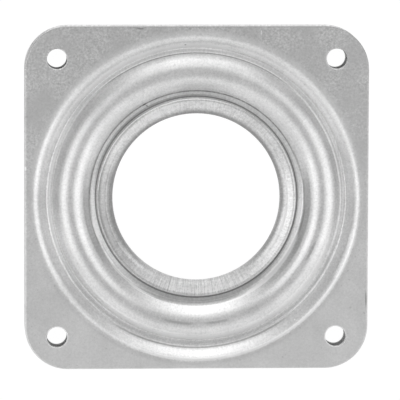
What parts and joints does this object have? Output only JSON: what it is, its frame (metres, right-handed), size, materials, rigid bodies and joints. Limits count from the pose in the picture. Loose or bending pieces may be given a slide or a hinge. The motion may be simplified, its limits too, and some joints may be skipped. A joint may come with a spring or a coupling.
{
  "type": "lazy susan bearing",
  "caption": "Square pressed-steel turntable bearing: two ringed plates with corner screw holes turn on loose balls round an open centre, held by a rolled inner lip.",
  "frame": {"origin": "on the axis of rotation, at the lower mounting face", "axes": "+Z along the axis of rotation, from the fixed plate to the turning plate; X and Y along the square's sides"},
  "size_m": [0.1016, 0.1016, 0.0079],
  "materials": {
    "plate": "zinc-plated pressed sheet, satin",
    "ball": "polished bearing steel"
  },
  "bodies": {
    "base": {"bottom_plate": "plate"},
    "turntable": {"top_plate": "plate"},
    "ball_ring": {"ball_01": "ball", "ball_02": "ball", "ball_03": "ball", "ball_04": "ball", "ball_05": "ball", "ball_06": "ball", "ball_07": "ball", "ball_08": "ball", "ball_09": "ball", "ball_10": "ball", "ball_11": "ball", "ball_12": "ball", "ball_13": "ball", "ball_14": "ball", "ball_15": "ball", "ball_16": "ball", "ball_17": "ball", "ball_18": "ball", "ball_19": "ball", "ball_20": "ball", "ball_21": "ball", "ball_22": "ball", "ball_23": "ball", "ball_24": "ball", "ball_25": "ball", "ball_26": "ball", "ball_27": "ball", "ball_28": "ball"}
  },
  "joints": [
    {"name": "top_spin", "type": "hinge", "parent": "base", "child": "turntable", "pos_m": [0, 0, 0], "axis": [0, 0, 1], "continuous": true},
    {"name": "ball_orbit", "type": "hinge", "parent": "base", "child": "ball_ring", "pos_m": [0, 0, 0], "axis": [0, 0, 1], "continuous": true}
  ],
  "couplings": [
    {"joint": "ball_orbit", "follows": "top_spin", "ratio": 0.5}
  ]
}
